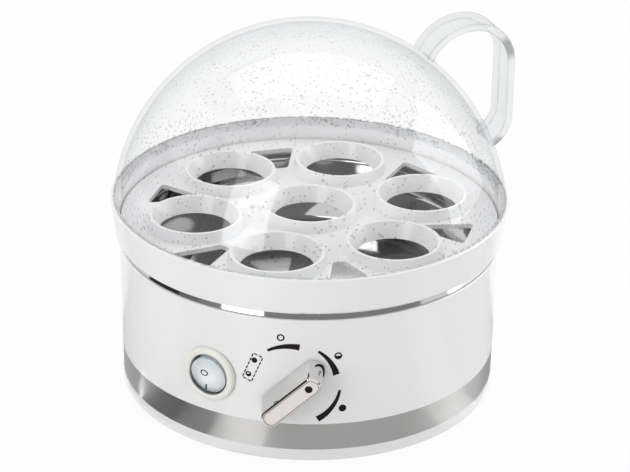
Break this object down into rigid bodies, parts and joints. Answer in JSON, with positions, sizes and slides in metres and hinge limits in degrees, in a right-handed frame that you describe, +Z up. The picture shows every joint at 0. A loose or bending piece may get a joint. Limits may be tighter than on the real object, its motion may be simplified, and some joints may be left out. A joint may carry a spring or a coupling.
{
  "type": "egg cooker",
  "caption": "Electric egg cooker: round heated base with knob and rocker switch, lift-out egg tray and clear domed lid with a loop handle.",
  "frame": {"origin": "on the axis of the round base, on the surface that the feet stand on", "axes": "+Z up along the axis of the base, -Y towards the control knob, +X to the right seen from the front"},
  "size_m": [0.1651, 0.1753, 0.1557],
  "materials": {
    "shell_white": "smooth gloss white moulding",
    "tray_white": "smooth gloss white moulding",
    "trim_steel": "brushed along the band",
    "bowl_steel": "polished pressing",
    "silicone": "matt translucent silicone",
    "rubber_grey": "matt rubber",
    "screw_steel": "zinc plated",
    "strap_steel": "plain stamping",
    "plate_aluminium": "as cast",
    "element_steel": "heat-tinted tube",
    "ceramic_white": "matt ceramic",
    "thermostat_brown": "moulded resin",
    "fuse_sleeve": "woven glass sleeve",
    "block_cream": "moulded nylon",
    "gland_white": "matt soft moulding",
    "board_green": "solder mask",
    "control_black": "fine matt moulding",
    "relay_blue": "smooth moulding",
    "shaft_grey": "turned shaft",
    "knob_chrome": "bright plated plastic",
    "bezel_cream": "soft satin moulding",
    "lamp_glass": "clear glass",
    "brass_blades": "stamped blades",
    "wire_brown": "sleeved lead",
    "wire_blue": "sleeved lead",
    "wire_green": "sleeved lead",
    "wire_white": "woven glass sleeve",
    "rocker_clear": "frosted clear moulding",
    "lid_clear": "clear gloss moulding"
  },
  "bodies": {
    "base": {"base_housing": "shell_white", "bottom_cover": "shell_white", "trim_band": "trim_steel", "heating_bowl": "bowl_steel", "bowl_seal": "silicone", "feet": "rubber_grey", "cover_screws": "screw_steel", "strap_screws": "screw_steel", "board_screws": "screw_steel", "clamp_nut": "screw_steel", "clamp_strap": "strap_steel", "heat_plate": "plate_aluminium", "heating_element": "element_steel", "element_beads": "ceramic_white", "thermostat": "thermostat_brown", "thermal_fuse": "fuse_sleeve", "terminal_block": "block_cream", "cord_gland": "gland_white", "control_board": "board_green", "rotary_control": "control_black", "relay": "relay_blue", "buzzer": "control_black", "live_lead": "wire_brown", "neutral_lead": "wire_blue", "earth_lead": "wire_green", "sensor_leads": "wire_white", "switch_body": "control_black", "switch_bezel": "bezel_cream", "switch_lamp": "lamp_glass", "switch_terminals": "brass_blades"},
    "tray": {"tray_collar": "tray_white", "egg_plate": "tray_white"},
    "lid": {"lid_dome": "lid_clear", "lid_handle": "lid_clear"},
    "knob": {"knob": "knob_chrome", "control_shaft": "shaft_grey"},
    "rocker": {"switch_rocker": "rocker_clear"}
  },
  "joints": [
    {"name": "tray_lift", "type": "slide", "parent": "base", "child": "tray", "axis": [0, 0, 1], "range_m": [0, 0.12]},
    {"name": "lid_lift", "type": "slide", "parent": "tray", "child": "lid", "axis": [0, 0, 1], "range_m": [0, 0.12]},
    {"name": "knob_turn", "type": "hinge", "parent": "base", "child": "knob", "pos_m": [0, -0.07868, 0.0348], "axis": [0, -1, 0], "range_deg": [-100, 120]},
    {"name": "rocker_tilt", "type": "hinge", "parent": "base", "child": "rocker", "pos_m": [-0.03299, -0.06856, 0.0348], "axis": [-0.9011, 0.4337, 0], "range_deg": [0, 16]}
  ]
}
